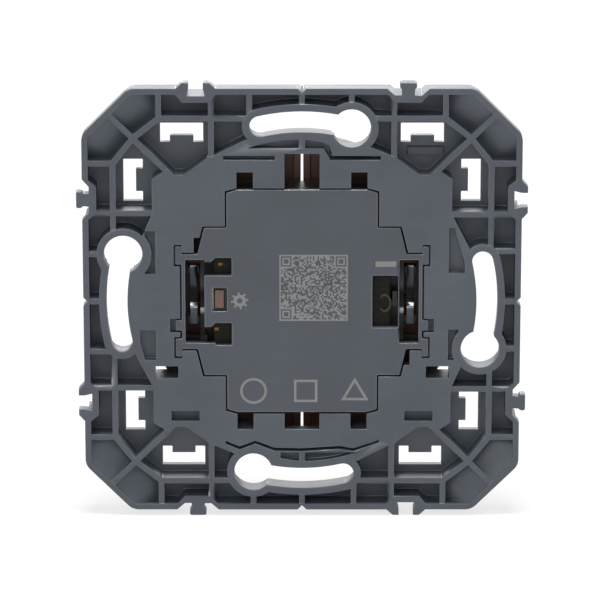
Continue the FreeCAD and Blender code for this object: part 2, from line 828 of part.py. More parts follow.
def cut_plateau_recesses(body):
    # shallow recesses of the plateau along its slots, as seen from behind
    chord = slot_inside - d.crescent_width
    groove_top = slot_inside - d.groove_gap
    groove_low = groove_top - d.groove_width
    start = d.groove_start
    end = d.short_crescent_end
    slit = d.slit_width
    long_crescent = [(-leg(slot_inside, chord), chord), (-half_rib, chord),
                     (-half_rib, leg(slot_inside, half_rib), slot_inside, 1)]
    short_crescent = [(half_rib, chord), (end, chord), (end, slot_inside - slit), (half_rib, slot_inside)]
    tailed_crescent = [(half_rib, chord), (end, chord), (start, (groove_low + groove_top) / 2),
                       (start + slit, (groove_low + groove_top) / 2), (start + slit, groove_top),
                       (start, chord + slit), (end, slot_inside - slit), (half_rib, slot_inside)]
    cut(body, "crescents", [long_crescent, tailed_crescent, turned(long_crescent), turned(short_crescent)],
        0, d.crescent_depth)
    grooves = [box(*sided(side, start, d.groove_end), groove_low, groove_top) for side in (-1, 1)]
    cut(body, "grooves", grooves, 0, d.groove_depth)

    # a wavy slit below the module: places across, and how far inside the slot walls
    waves = [(-12.5, 3.5), (-10.2, 2.5), (-7.6, 3.5), (-4.5, 2.3), (0, 2.2), (6.2, 2.6), (8.4, 2.2), (12.6, 3.7)]
    upper = [(x, inside - slot_inside) for x, inside in waves]
    lower = [(x, z - slit) for x, z in reversed(upper)]
    cut(body, "wavy_slit", [upper + lower], 0, d.groove_depth)

    sides = [keyhole_recess(), turned(short_keyhole_recess()),
             slot_end_recess(d.side_recess_rise, d.side_recess_width),
             turned(slot_end_recess(d.side_recess_cap, d.side_recess_width / 2))]
    cut(body, "side_recesses", sides, 0, d.side_recess_depth)
    outer = frame_half - d.low_recess_side_inset
    low = d.low_recess_inset - frame_half
    low_recesses = [box(*sided(side, outer - d.low_recess_length, outer), low, low + d.low_recess_width)
                    for side in (-1, 1)]
    cut(body, "low_recesses", low_recesses, 0, d.low_recess_depth)


def make_rear_cover():
    body = new_body("rear_cover")
    level = d.cover_setback
    thick = d.cover_thickness
    pad(body, "plate", [module_outline(as_size(0))], level, thick)
    pad(body, "fingers", cover_fingers(as_size(0)), level, thick)
    pad(body, "catches", cover_catches(as_size(0), as_size(0)), level, thick)
    for side, word in ((-1, "left"), (1, "right")):
        low, high = sided(side, tall_inner, tall_outer)
        cut(body, word + "_tall_window", [box(low, high, -tall_half, tall_half)], level, thick)

    # the two windows that open into the left tall window, with a step in their upper edges
    left = -(tall_inner + d.window_rim)
    right = d.side_window_width - tall_inner
    step = d.side_window_step
    step_x = d.side_window_step_start - tall_inner
    slope_x = step_x - 2 * step
    low = tall_half - d.side_window_height
    cut(body, "upper_side_window", [[(left, low), (right, low), (right, tall_half + step),
                                     (step_x, tall_half + step), (slope_x, tall_half - step),
                                     (left, tall_half - step)]], level, thick)
    high = d.lower_window_height - tall_half
    cut(body, "lower_side_window", [[(left, -tall_half), (step_x, -tall_half), (step_x, -tall_half - step),
                                     (right, -tall_half - step), (right, high), (step_x, high),
                                     (slope_x, high - 2 * step), (left, high - 2 * step)]], level, thick)
    high_x = d.setup_window_gap - tall_inner + d.setup_window_width
    cut(body, "setup_window", [box(high_x - d.setup_window_width, high_x, d.setup_window_bottom, d.setup_window_top)],
        level, thick)
    cut(body, "right_side_window", [box(-right, tall_inner - d.side_window_bar, -low, low)], level, thick)
    return body


def make_module_tray():
    body = new_body("module_tray")
    pad(body, "block", [module_outline(as_size(0))], cover_front, module_front - cover_front)
    cut(body, "hollow", [module_outline(-d.tray_wall)], cover_front, tray_floor - cover_front)
    posts = []
    inset = d.tray_wall + d.post_inset
    for side in (-1, 1):
        posts.append(("circle", side * (d.module_half_width - inset), inset - d.module_half_height, d.post_radius))
        posts.append(("circle", side * (shoulder_end - inset - d.post_inset), inset - d.shoulder_height,
                      d.post_radius))
    pad(body, "board_posts", posts, board_front, tray_floor - board_front)
    reach = d.bearing_half_height
    bearings = []
    ledges = []
    leg_windows = []
    wall = d.arm_half_height - d.tray_wall / 2
    for side in (-1, 1):
        bearings.append(box(*sided(side, bearing_inner, bearing_outer), -reach, reach))
        leg_windows.append(box(*sided(side, leg_inner - d.leg_room, leg_outer + d.leg_room), -tall_half, tall_half))
        for low, high in ((wall - d.ledge_length, wall), (-wall, d.ledge_length - wall)):
            ledges.append(box(*sided(side, spring_inner - d.ledge_overlap, spring_outer), low, high))
    bearing_rear = lever_axis - d.lever_shaft_radius - d.bearing_rim
    pad(body, "bearing_blocks", bearings, bearing_rear, tray_floor - bearing_rear)
    ledge_rear = spring_rear + d.spring_thickness
    pad(body, "spring_ledges", ledges, ledge_rear, tray_floor - ledge_rear)
    cut(body, "leg_windows", leg_windows, tray_floor, d.tray_front_wall)
    ears = []
    for side in (-1, 1):
        for start in (d.inner_ear, outer_ear):
            ears.append(box(*sided(side, start, start + d.ear_width), -d.ear_half_height, d.ear_half_height))
    pad(body, "hinge_ears", ears, tray_floor, hinge + d.ear_rim - tray_floor)
    cut(body, "hinge_bore", [("circle", hinge, 0, d.pin_radius + d.pin_fit)], -tall_inner, 2 * tall_inner, SIDE)
    cut(body, "bearing_bore", [("circle", lever_axis, 0, d.lever_shaft_radius + d.shaft_fit)],
        -tall_inner, 2 * tall_inner, SIDE)
    return body


def make_circuit_board():
    body = new_body("circuit_board")
    width = d.module_half_width - d.tray_wall - d.board_gap
    shoulder = bearing_inner - d.board_gap
    middle = -(d.shoulder_height - d.tray_wall - d.board_gap)
    horn_top = pole_bottom - d.horn_pole_gap
    horn_inner = pole_inner - d.horn_margin
    right = [(width, board_low), (width, middle), (shoulder, middle), (shoulder, horn_top),
             (horn_inner, horn_top), (horn_inner, board_top)]
    outline = right + [(-x, z) for x, z in reversed(right)]
    pad(body, "board", [outline], board_rear, d.board_thickness)
    return body


def make_board_parts():
    half = d.chip_side / 2
    chip_low = board_top - d.chip_board_margin - d.chip_side
    chip = new_body("radio_chip")
    pad(chip, "shield", [box(-half, half, chip_low, chip_low + d.chip_side)], board_front, d.chip_height)
    capacitor = new_body("storage_capacitor")
    half = d.capacitor_length / 2
    height = chip_low - d.capacitor_chip_gap - d.capacitor_radius
    pad(capacitor, "can", [("circle", board_front + d.capacitor_radius, height, d.capacitor_radius)],
        -half, d.capacitor_length, SIDE)
    antenna = new_body("antenna_strip")
    reach = d.module_half_width - d.antenna_side_gap
    wide = d.antenna_width
    low = board_low + d.antenna_board_margin
    high = low + d.antenna_pitch
    path = [(-reach, low), (reach, low), (reach, high + wide), (-reach / 2, high + wide), (-reach / 2, high),
            (reach - wide, high), (reach - wide, low + wide), (-reach, low + wide)]
    pad(antenna, "strip", [path], board_front, d.antenna_thickness)


def make_setup_switch():
    body = new_body("setup_switch_body")
    gap = d.switch_window_gap
    right = d.setup_window_gap - tall_inner + d.setup_window_width - gap
    left = d.setup_window_gap - tall_inner + gap
    low = d.setup_window_bottom + gap
    high = d.setup_window_top - gap
    wall = d.switch_wall
    deep = board_rear - d.switch_rear
    pad(body, "case", [box(left, right, low, high)], d.switch_rear, deep)
    cut(body, "well", [box(left + wall, right - wall, low + wall, high - wall)],
        d.switch_rear, deep - d.switch_floor)
    button = new_body("setup_button")
    wall = wall + d.button_fit
    pad(button, "cap", [box(left + wall, right - wall, low + wall, high - wall)], d.button_rear, d.button_length)


def make_generator():
    middle = room_middle
    height = generator_height
    core_deep = d.core_thickness / 2
    core_half = d.core_width / 2
    core = new_body("iron_core")
    reach = magnet_inner - d.core_end_gap
    pad(core, "bar", [box(middle - core_deep, middle + core_deep, height - core_half, height + core_half)],
        -reach, 2 * reach, SIDE)
    bobbin = new_body("coil_bobbin")
    reach = pole_inner - d.bobbin_end_gap
    fit = d.core_fit
    deep = core_deep + fit + d.bobbin_wall
    half = core_half + fit + d.bobbin_wall
    pad(bobbin, "tube", [box(middle - deep, middle + deep, height - half, height + half)], -reach, 2 * reach, SIDE)
    flange = d.bobbin_flange_height / 2
    flange_loop = box(cover_front, tray_floor, height - flange, height + flange)
    pad(bobbin, "left_flange", [flange_loop], -reach, d.bobbin_flange, SIDE)
    pad(bobbin, "right_flange", [flange_loop], reach - d.bobbin_flange, d.bobbin_flange, SIDE)
    cut(bobbin, "core_hole", [box(middle - core_deep - fit, middle + core_deep + fit,
                                  height - core_half - fit, height + core_half + fit)],
        -reach, 2 * reach, SIDE)
    winding = new_body("coil_winding")
    reach = reach - d.bobbin_flange
    more = d.winding_depth
    outer_deep = deep + more
    outer_half = half + more
    pad(winding, "wire", [box(middle - outer_deep, middle + outer_deep, height - outer_half, height + outer_half)],
        -reach, 2 * reach, SIDE)
    round_edges(winding, "wire_rounding", d.winding_round,
                lambda a, b: abs(a.y - b.y) < 1e-6 and abs(a.z - b.z) < 1e-6)
    cut(winding, "tube_hole", [box(middle - deep, middle + deep, height - half, height + half)],
        -reach, 2 * reach, SIDE)


def make_lever(side, word):
    body = new_body(word + "_drive_lever")
    plate = d.lever_plate / 2
    arm_outer = bearing_inner - d.lever_arm_gap
    arm_low, arm_high = sided(side, arm_outer - d.lever_arm_width, arm_outer)
    pad(body, "magnet_arm", [box(arm_low, arm_high, -d.lever_arm_tail, pole_bottom)],
        lever_axis - plate, d.lever_plate)
    shaft_low, shaft_high = sided(side, arm_outer - d.shaft_overlap, bar_outer)
    pad(body, "shaft", [("circle", lever_axis, 0, d.lever_shaft_radius)], shaft_low, shaft_high - shaft_low, SIDE)
    # rocker bar in the tall window, stamped with a bend where its two wings meet
    bar_low, bar_high = sided(side, bar_inner, bar_outer)
    rear = lever_axis - plate
    front = lever_axis + d.lever_shaft_radius
    bend = -d.bar_bend
    half = d.bar_bend_half
    profile = [(rear, bar_top), (rear, bend + half), (rear - d.bar_bend_rise, bend),
               (rear, bend - half), (rear, -bar_bottom), (front, -bar_bottom), (front, bar_top)]
    pad(body, "rocker_bar", [profile], bar_low, bar_high - bar_low, SIDE)
    return body


def make_magnets(side, word):
    high = pole_bottom + d.pole_width
    core = d.core_thickness / 2 + d.pole_gap
    pole_low, pole_high = sided(side, pole_inner, magnet_outer)
    magnet_low, magnet_high = sided(side, magnet_inner, magnet_outer)
    magnet = new_body(word + "_magnet")
    pad(magnet, "block", [box(magnet_low, magnet_high, pole_bottom, high)], room_middle - core, 2 * core)
    rear = new_body(word + "_rear_pole")
    pad(rear, "plate", [box(pole_low, pole_high, pole_bottom, high)],
        room_middle - core - d.pole_thickness, d.pole_thickness)
    front = new_body(word + "_front_pole")
    pad(front, "plate", [box(pole_low, pole_high, pole_bottom, high)], room_middle + core, d.pole_thickness)


def make_return_spring(side, word):
    body = new_body(word + "_return_spring")
    low, high = sided(side, spring_inner, spring_outer)
    rear = spring_rear
    half = d.arm_half_height - d.spring_end_gap
    foot = half - d.spring_foot
    edge = [(rear, -half), (rear, -foot), (rear - d.spring_bow, 0), (rear, foot), (rear, half)]
    profile = edge + [(y + d.spring_thickness, z) for y, z in reversed(edge)]
    pad(body, "leaf", [profile], low, high - low, SIDE)


def make_pivot_pin(side, word):
    body = new_body(word + "_pivot_pin")
    low, high = sided(side, d.inner_ear, outer_ear + d.ear_width)
    pad(body, "pin", [("circle", hinge, 0, d.pin_radius)], low, high - low, SIDE)


def half_disc(side, radius, gap):
    # half of a round plate, with its straight side beside the middle line
    reach = leg(radius, gap)
    if side > 0:
        return [(gap, reach, radius, -1), (gap, -reach)]
    return [(-gap, -reach, radius, -1), (-gap, reach)]


def make_key_carrier(side, word):
    body = new_body(word + "_key_carrier")
    gap = d.carrier_half_gap
    pad(body, "rim", [half_disc(side, d.carrier_radius, gap)], carrier_rim_rear, carrier_front - carrier_rim_rear)
    cut(body, "rear_relief", [half_disc(side, d.carrier_radius - d.carrier_rim, gap + d.carrier_rim)],
        carrier_rim_rear, d.carrier_rim_height)
    inner = d.inner_ear + d.ear_width + d.ear_gap
    low, high = sided(side, inner, outer_ear - d.ear_gap)
    pad(body, "knuckle", [("circle", hinge, 0, d.knuckle_radius)], low, high - low, SIDE)
    ear_high = d.ear_half_height + 2 * d.ear_gap
    holes = []
    for start in (d.inner_ear, outer_ear):
        holes.append(box(*sided(side, start - d.ear_gap, start + d.ear_width + d.ear_gap), -ear_high, ear_high))
    cut(body, "ear_windows", holes, carrier_rim_rear, carrier_front - carrier_rim_rear)
    upper = bar_top - d.leg_end_gap
    lower = -bar_bottom
    legs = [box(*sided(side, leg_inner, leg_outer), low, low + d.leg_thickness)
            for low in (upper - d.leg_thickness, lower)]
    tip = lever_axis + d.lever_shaft_radius + d.leg_clearance
    pad(body, "legs", legs, tip, carrier_front - tip)
    low, high = sided(side, d.inner_ear - d.ear_gap, outer_ear + d.ear_width + d.ear_gap)
    cut(body, "pin_bore", [("circle", hinge, 0, d.pin_radius + d.knuckle_fit)], low, high - low, SIDE)


def make_key(side, word):
    body = new_body(word + "_key")
    gap = d.carrier_half_gap
    pad(body, "block", [half_disc(side, d.key_radius, gap)], carrier_front, d.key_depth)
    front = (carrier_front + d.key_depth).value
    bevel_edges(body, "edge_bevel", d.key_edge_round,
                lambda a, b: abs(a.y - front) < 1e-6 and abs(b.y - front) < 1e-6)
    cut(body, "hollow", [half_disc(side, d.key_radius - d.key_wall, gap + d.key_wall)],
        carrier_front, d.key_depth - d.key_front_wall)


make_support_frame()
make_rear_cover()
make_module_tray()
make_circuit_board()
make_board_parts()
make_setup_switch()
make_generator()
for side, word in ((-1, "left"), (1, "right")):
    make_lever(side, word)
    make_magnets(side, word)
    make_return_spring(side, word)
    make_pivot_pin(side, word)
    make_key_carrier(side, word)
    make_key(side, word)

doc.recompute()

for item in doc.Objects:
    if "Invalid" in item.State or "Error" in item.State:
        raise RuntimeError(item.Name + " is " + ", ".join(item.State))
    if item.TypeId == "PartDesign::Pocket":
        base = item.BaseFeature.Shape.Volume
        if item.Shape.Volume > base - 1e-4:
            raise RuntimeError(item.Name + " cuts nothing")

os.makedirs("parts", exist_ok=True)
for body in doc.Objects:
    if body.TypeId != "PartDesign::Body":
        continue
    shape = body.Shape
    if shape.isNull() or not shape.isValid():
        raise RuntimeError(body.Label + " has no valid shape")
    shape.exportStep(os.path.join("parts", body.Label + ".step"))
    print(body.Label, len(shape.Solids), round(shape.Volume, 2))
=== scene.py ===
import bmesh
import bpy
import json
import math
import random
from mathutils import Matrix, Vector

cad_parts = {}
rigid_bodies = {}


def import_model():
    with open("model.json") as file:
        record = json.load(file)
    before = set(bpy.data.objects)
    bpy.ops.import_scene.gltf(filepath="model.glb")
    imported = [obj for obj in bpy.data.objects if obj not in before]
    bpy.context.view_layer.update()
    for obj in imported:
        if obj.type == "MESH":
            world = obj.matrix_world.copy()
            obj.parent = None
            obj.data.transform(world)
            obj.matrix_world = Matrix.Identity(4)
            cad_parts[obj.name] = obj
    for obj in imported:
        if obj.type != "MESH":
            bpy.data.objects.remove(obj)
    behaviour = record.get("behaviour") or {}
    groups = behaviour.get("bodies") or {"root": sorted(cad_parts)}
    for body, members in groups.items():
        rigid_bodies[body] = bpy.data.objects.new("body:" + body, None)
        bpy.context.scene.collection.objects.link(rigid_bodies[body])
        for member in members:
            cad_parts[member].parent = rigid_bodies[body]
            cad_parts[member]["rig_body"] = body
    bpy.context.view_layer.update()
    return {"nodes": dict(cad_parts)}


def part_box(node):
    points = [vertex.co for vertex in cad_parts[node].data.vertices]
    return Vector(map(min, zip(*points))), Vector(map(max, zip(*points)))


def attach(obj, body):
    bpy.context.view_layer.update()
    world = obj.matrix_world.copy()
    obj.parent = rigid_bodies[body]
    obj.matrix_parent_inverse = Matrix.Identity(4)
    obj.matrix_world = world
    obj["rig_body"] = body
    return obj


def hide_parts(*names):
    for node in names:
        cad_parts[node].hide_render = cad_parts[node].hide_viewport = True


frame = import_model()
mm = 0.001
random.seed(7)

# Camera, as the photo shows the switch
viewSettings = {
    "distance": 718 * mm,       # to the middle of the wall face
    "elevation": 15.9,          # degrees above it
    "sensor": 36,
    "focal": 4430 / 600 * 36,   # 4430 px of focal length in an image 600 px wide, on that sensor
    "centreRight": 2 / 600,     # the middle lies 2 px right of and below the image's middle
    "centreDown": 2 / 600,
    "nearest": 0.01,            # clipping starts here
}


def deselectAll():
    if bpy.context.object and bpy.context.object.mode != "OBJECT":
        bpy.ops.object.mode_set(mode="OBJECT")
    bpy.ops.object.select_all(action="DESELECT")


def pick(piece):
    deselectAll()
    piece.select_set(True)
    bpy.context.view_layer.objects.active = piece


def settle(piece):
    # puts the place into the mesh, as on the frame's own nodes
    pick(piece)
    bpy.ops.object.transform_apply(location=True, rotation=True, scale=True)


def addModifier(piece, kind, **values):
    modifier = piece.modifiers.new(kind.title(), kind)
    for key, value in values.items():
        setattr(modifier, key, value)


def applyModifiers(piece):
    pick(piece)
    for modifier in list(piece.modifiers):
        bpy.ops.object.modifier_apply(modifier=modifier.name)


def finishPiece(piece, material, body):
    piece.data.materials.clear()
    piece.data.materials.append(material)
    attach(piece, body)


# Materials
noiseReach = (0.3, 0.7)        # most of a noise lies between these values
toneReach = (0.32, 0.68)       # a tone blends from dark to light between these
toneShift = (0.36, 0.64)       # how far both move for a second noise on top
flowMarks = {"scale": 260, "detail": 5.0, "stretch": (0.35, 1, 2.4)}
steelStreaks = {"scale": 900, "detail": 3.0, "dark": 0.8, "light": 1.12}
plasticVaries = (-0.05, 0.06)  # roughness, either side of its plain value
steelVaries = (-0.08, 0.12)


def newMaterial(name, colour, roughness, metallic=0.0):
    material = bpy.data.materials.new(name)
    material.use_nodes = True
    shader = material.node_tree.nodes["Principled BSDF"]
    shader.inputs["Base Color"].default_value = (*colour, 1)
    shader.inputs["Roughness"].default_value = roughness
    shader.inputs["Metallic"].default_value = metallic
    return material, material.node_tree.nodes, material.node_tree.links, shader


def objectNoise(nodes, links, scale, detail=3.0, stretch=(1, 1, 1)):
    place = nodes.new("ShaderNodeTexCoord")
    mapping = nodes.new("ShaderNodeMapping")
    mapping.inputs["Scale"].default_value = stretch
    noise = nodes.new("ShaderNodeTexNoise")
    noise.inputs["Scale"].default_value = scale
    noise.inputs["Detail"].default_value = detail
    links.new(place.outputs["Object"], mapping.inputs["Vector"])
    links.new(mapping.outputs["Vector"], noise.inputs["Vector"])
    return noise.outputs["Fac"]


def spread(nodes, links, source, low, high):
    # stretches a noise value between two numbers
    remap = nodes.new("ShaderNodeMapRange")
    remap.inputs["From Min"].default_value = noiseReach[0]
    remap.inputs["From Max"].default_value = noiseReach[1]
    remap.inputs["To Min"].default_value = low
    remap.inputs["To Max"].default_value = high
    links.new(source, remap.inputs["Value"])
    return remap.outputs["Result"]


def varyRoughness(nodes, links, shader, source, roughness, varies):
    value = spread(nodes, links, source, roughness + varies[0], roughness + varies[1])
    links.new(value, shader.inputs["Roughness"])


def tint(nodes, links, source, dark, light, added=0.0):
    # added is the share of a second noise in the source
    ramp = nodes.new("ShaderNodeValToRGB")
    first, last = ramp.color_ramp.elements
    first.position = toneReach[0] + added * toneShift[0]
    first.color = (*dark, 1)
    last.position = min(toneReach[1] + added * toneShift[1], 1.0)
    last.color = (*light, 1)
    links.new(source, ramp.inputs["Fac"])
    return ramp.outputs["Color"]


def bump(nodes, links, shader, source, distance, strength=1.0):
    node = nodes.new("ShaderNodeBump")
    node.inputs["Distance"].default_value = distance
    node.inputs["Strength"].default_value = strength
    links.new(source, node.inputs["Height"])
    links.new(node.outputs["Normal"], shader.inputs["Normal"])


def mouldedPlastic(name, colour, look):
    # spark-eroded moulding: fine grain, slow cloudiness, flow marks and a satin shine that varies
    material, nodes, links, shader = newMaterial(name, colour, look["roughness"])
    shader.inputs["Specular IOR Level"].default_value = look["shine"]
    cloud = objectNoise(nodes, links, look["cloudScale"], 4.0)
    flow = objectNoise(nodes, links, flowMarks["scale"], flowMarks["detail"], flowMarks["stretch"])
    both = nodes.new("ShaderNodeMath")
    both.operation = "MULTIPLY_ADD"
    both.inputs[1].default_value = look["flow"]
    links.new(flow, both.inputs[0])
    links.new(cloud, both.inputs[2])
    dark = [channel * (1 - look["cloud"]) for channel in colour]
    light = [channel * (1 + look["cloud"]) for channel in colour]
    tone = tint(nodes, links, both.outputs["Value"], dark, light, look["flow"])
    links.new(tone, shader.inputs["Base Color"])
    varyRoughness(nodes, links, shader, cloud, look["roughness"], plasticVaries)
    grain = objectNoise(nodes, links, look["grainScale"], 2.0)
    bump(nodes, links, shader, grain, look["grainHeight"], look["grainStrength"])
    return material


def streakNoise(nodes, links, stretch):
    return objectNoise(nodes, links, steelStreaks["scale"], steelStreaks["detail"], stretch)


def stampedSteel(name, colour, roughness, stretch):
    material, nodes, links, shader = newMaterial(name, colour, roughness, 1.0)
    streaks = streakNoise(nodes, links, stretch)
    dark = [channel * steelStreaks["dark"] for channel in colour]
    light = [min(channel * steelStreaks["light"], 1.0) for channel in colour]
    links.new(tint(nodes, links, streaks, dark, light), shader.inputs["Base Color"])
    varyRoughness(nodes, links, shader, streaks, roughness, steelVaries)
    bump(nodes, links, shader, streaks, 0.01 * mm, 0.6)
    return material


plasticLook = {
    "frame": {"roughness": 0.42, "shine": 0.5, "flow": 0.35, "cloud": 0.13, "cloudScale": 70,
              "grainScale": 5200, "grainHeight": 0.012 * mm, "grainStrength": 0.8},
    # rounded edges: smoother and shinier, and lighter than the faces beside them as a painted highlight
    "edge": {"roughness": 0.22, "shine": 0.9, "flow": 0.35, "cloud": 0.13, "cloudScale": 70,
             "grainScale": 5200, "grainHeight": 0.012 * mm, "grainStrength": 0.15},
    "cover": {"roughness": 0.42, "shine": 0.45, "flow": 0.35, "cloud": 0.1, "cloudScale": 80,
              "grainScale": 6500, "grainHeight": 0.01 * mm, "grainStrength": 0.9},
    "carrier": {"roughness": 0.42, "shine": 0.5, "flow": 0.2, "cloud": 0.12, "cloudScale": 80,
                "grainScale": 4000, "grainHeight": 0.01 * mm, "grainStrength": 0.7},
    "key": {"roughness": 0.34, "shine": 0.5, "flow": 0.1, "cloud": 0.015, "cloudScale": 50,
            "grainScale": 7000, "grainHeight": 0.006 * mm, "grainStrength": 0.5},
    "small": {"roughness": 0.5, "shine": 0.4, "flow": 0.1, "cloud": 0.06, "cloudScale": 300,
              "grainScale": 6000, "grainHeight": 0.006 * mm, "grainStrength": 0.6},
}

framePlastic = mouldedPlastic("blueGreyPlastic", (0.069, 0.081, 0.099), plasticLook["frame"])
coverPlastic = mouldedPlastic("coverPlastic", (0.066, 0.076, 0.091), plasticLook["cover"])
trayPlastic = mouldedPlastic("trayPlastic", (0.013, 0.0125, 0.012), plasticLook["cover"])
# the lighter colour of the rounded edges is a painted highlight
edgeHighlightPlastic = mouldedPlastic("paintedHighlightEdge", (0.09, 0.104, 0.124), plasticLook["edge"])
# the carriers' brown stands for white plastic in shade with light coming through it from behind: painted
# shade and painted transmitted light
backlitShadeCarrierPlastic = mouldedPlastic("carrierPaintedBacklitShade", (0.095, 0.036, 0.02), plasticLook["carrier"])
keyPlastic = mouldedPlastic("keyPlastic", (0.72, 0.715, 0.69), plasticLook["key"])
printInk = mouldedPlastic("paleInk", (0.225, 0.23, 0.222), plasticLook["small"])
buttonPlastic = mouldedPlastic("buttonPlastic", (0.15, 0.09, 0.072), plasticLook["small"])
bobbinPlastic = mouldedPlastic("bobbinPlastic", (0.03, 0.03, 0.032), plasticLook["small"])
sleevePlastic = mouldedPlastic("capacitorSleeve", (0.015, 0.015, 0.02), plasticLook["small"])
pinSteel = stampedSteel("pinSteel", (0.6, 0.6, 0.61), 0.22, (0.3, 8, 8))
coreIron = stampedSteel("coreIron", (0.35, 0.34, 0.33), 0.4, (0.5, 6, 6))
tinSheet = stampedSteel("tinSheet", (0.66, 0.66, 0.64), 0.3, (1, 1, 1))
nickel = stampedSteel("nickelPlate", (0.63, 0.61, 0.58), 0.2, (1, 1, 1))
gold = stampedSteel("goldPlate", (0.83, 0.55, 0.18), 0.26, (1, 1, 1))
oliveBrass = stampedSteel("oliveBrass", (0.055, 0.052, 0.038), 0.45, (1, 1, 1))
dullGold = stampedSteel("dullGold", (0.2, 0.12, 0.035), 0.5, (1, 1, 1))


def heightColours(nodes, links, stops):
    # colours that change with the height, blended between the given heights in mm
    place = nodes.new("ShaderNodeTexCoord")
    parts = nodes.new("ShaderNodeSeparateXYZ")
    links.new(place.outputs["Object"], parts.inputs["Vector"])
    low, high = stops[0][0], stops[-1][0]
    share = nodes.new("ShaderNodeMapRange")
    share.inputs["From Min"].default_value = low * mm
    share.inputs["From Max"].default_value = high * mm
    links.new(parts.outputs["Z"], share.inputs["Value"])
    ramp = nodes.new("ShaderNodeValToRGB")
    while len(ramp.color_ramp.elements) < len(stops):
        ramp.color_ramp.elements.new(0.5)
    for element, (height, colour) in zip(ramp.color_ramp.elements, stops):
        element.position = (height - low) / (high - low)
        element.color = (*colour, 1)
    links.new(share.outputs["Result"], ramp.inputs["Fac"])
    return ramp.outputs["Color"]


def paintedBandSteel(name, stops, roughness):
    # blued sheet; its bright and dark bands by height are painted highlights and painted dark reflections
    material, nodes, links, shader = newMaterial(name, stops[0][1], roughness, 1.0)
    links.new(heightColours(nodes, links, stops), shader.inputs["Base Color"])
    streaks = streakNoise(nodes, links, (1, 1, 8))
    varyRoughness(nodes, links, shader, streaks, roughness, steelVaries)
    bump(nodes, links, shader, streaks, 0.006 * mm, 0.5)
    return material


# heights in mm above the switch's middle, from the lowest up, each with its colour: bands of painted
# highlight and painted dark reflection
leverPaintedBands = [(-6.6, (0.014, 0.015, 0.017)), (-3.6, (0.055, 0.065, 0.08)), (-1.75, (0.085, 0.1, 0.118)),
             (-1.6, (0.66, 0.68, 0.7)), (-0.85, (0.6, 0.62, 0.64)), (-0.65, (0.01, 0.01, 0.01)),
             (1.6, (0.012, 0.013, 0.014)), (2.3, (0.04, 0.047, 0.057)), (5.1, (0.055, 0.065, 0.08)),
             (5.4, (0.4, 0.42, 0.44))]
springPaintedBands = [(-5.0, (0.014, 0.014, 0.014)), (-2.5, (0.025, 0.026, 0.028)), (-2.1, (0.2, 0.21, 0.22)),
              (-1.6, (0.34, 0.35, 0.36)), (-1.3, (0.02, 0.02, 0.02)), (1.2, (0.01, 0.01, 0.01)),
              (2.4, (0.045, 0.048, 0.052)), (5.4, (0.02, 0.021, 0.022))]
# levers and springs carry painted highlights and painted dark reflections in their colour
leverSteel = paintedBandSteel("leverSteel", leverPaintedBands, 0.34)
springSteel = paintedBandSteel("springSteel", springPaintedBands, 0.3)


def switchMaterial():
    # black housing, white beyond this place across the switch
    whiteEdge = -14.4 * mm
    material, nodes, links, shader = newMaterial("switchHousing", (0.02, 0.018, 0.017), 0.5)
    place = nodes.new("ShaderNodeTexCoord")
    parts = nodes.new("ShaderNodeSeparateXYZ")
    links.new(place.outputs["Object"], parts.inputs["Vector"])
    beyond = nodes.new("ShaderNodeMath")
    beyond.operation = "LESS_THAN"
    beyond.inputs[1].default_value = whiteEdge
    links.new(parts.outputs["X"], beyond.inputs[0])
    tone = tint(nodes, links, beyond.outputs["Value"], (0.016, 0.013, 0.012), (0.7, 0.69, 0.66))
    links.new(tone, shader.inputs["Base Color"])
    bump(nodes, links, shader, objectNoise(nodes, links, 6000, 2.0), 0.006 * mm, 0.6)
    return material


def boardMaterial():
    # dark solder mask with faint copper tracks under it
    material, nodes, links, shader = newMaterial("solderMask", (0.014, 0.014, 0.011), 0.6)
    shader.inputs["Specular IOR Level"].default_value = 0.15
    place = nodes.new("ShaderNodeTexCoord")
    brick = nodes.new("ShaderNodeTexBrick")
    brick.inputs["Scale"].default_value = 420
    brick.inputs["Color1"].default_value = (0.008, 0.008, 0.007, 1)
    brick.inputs["Color2"].default_value = (0.011, 0.011, 0.009, 1)
    brick.inputs["Mortar"].default_value = (0.018, 0.015, 0.009, 1)
    brick.inputs["Mortar Size"].default_value = 0.03
    turn = nodes.new("ShaderNodeMapping")
    turn.inputs["Rotation"].default_value = (math.radians(90), 0, 0)
    links.new(place.outputs["Object"], turn.inputs["Vector"])
    links.new(turn.outputs["Vector"], brick.inputs["Vector"])
    links.new(brick.outputs["Color"], shader.inputs["Base Color"])
    bump(nodes, links, shader, brick.outputs["Fac"], 0.02 * mm, 0.5)
    return material


def wireMaterial():
    # enamelled copper, wound round the long axis of the coil
    material, nodes, links, shader = newMaterial("enamelledWire", (0.6, 0.22, 0.09), 0.3, 0.8)
    place = nodes.new("ShaderNodeTexCoord")
    wave = nodes.new("ShaderNodeTexWave")
    wave.bands_direction = "X"
    wave.inputs["Scale"].default_value = 2600
    wave.inputs["Distortion"].default_value = 0.4
    links.new(place.outputs["Object"], wave.inputs["Vector"])
    tone = tint(nodes, links, wave.outputs["Fac"], (0.3, 0.09, 0.035), (0.75, 0.32, 0.14))
    links.new(tone, shader.inputs["Base Color"])
    bump(nodes, links, shader, wave.outputs["Fac"], 0.05 * mm, 1.0)
    return material


switchPlastic = switchMaterial()
solderMask = boardMaterial()
enamelledWire = wireMaterial()

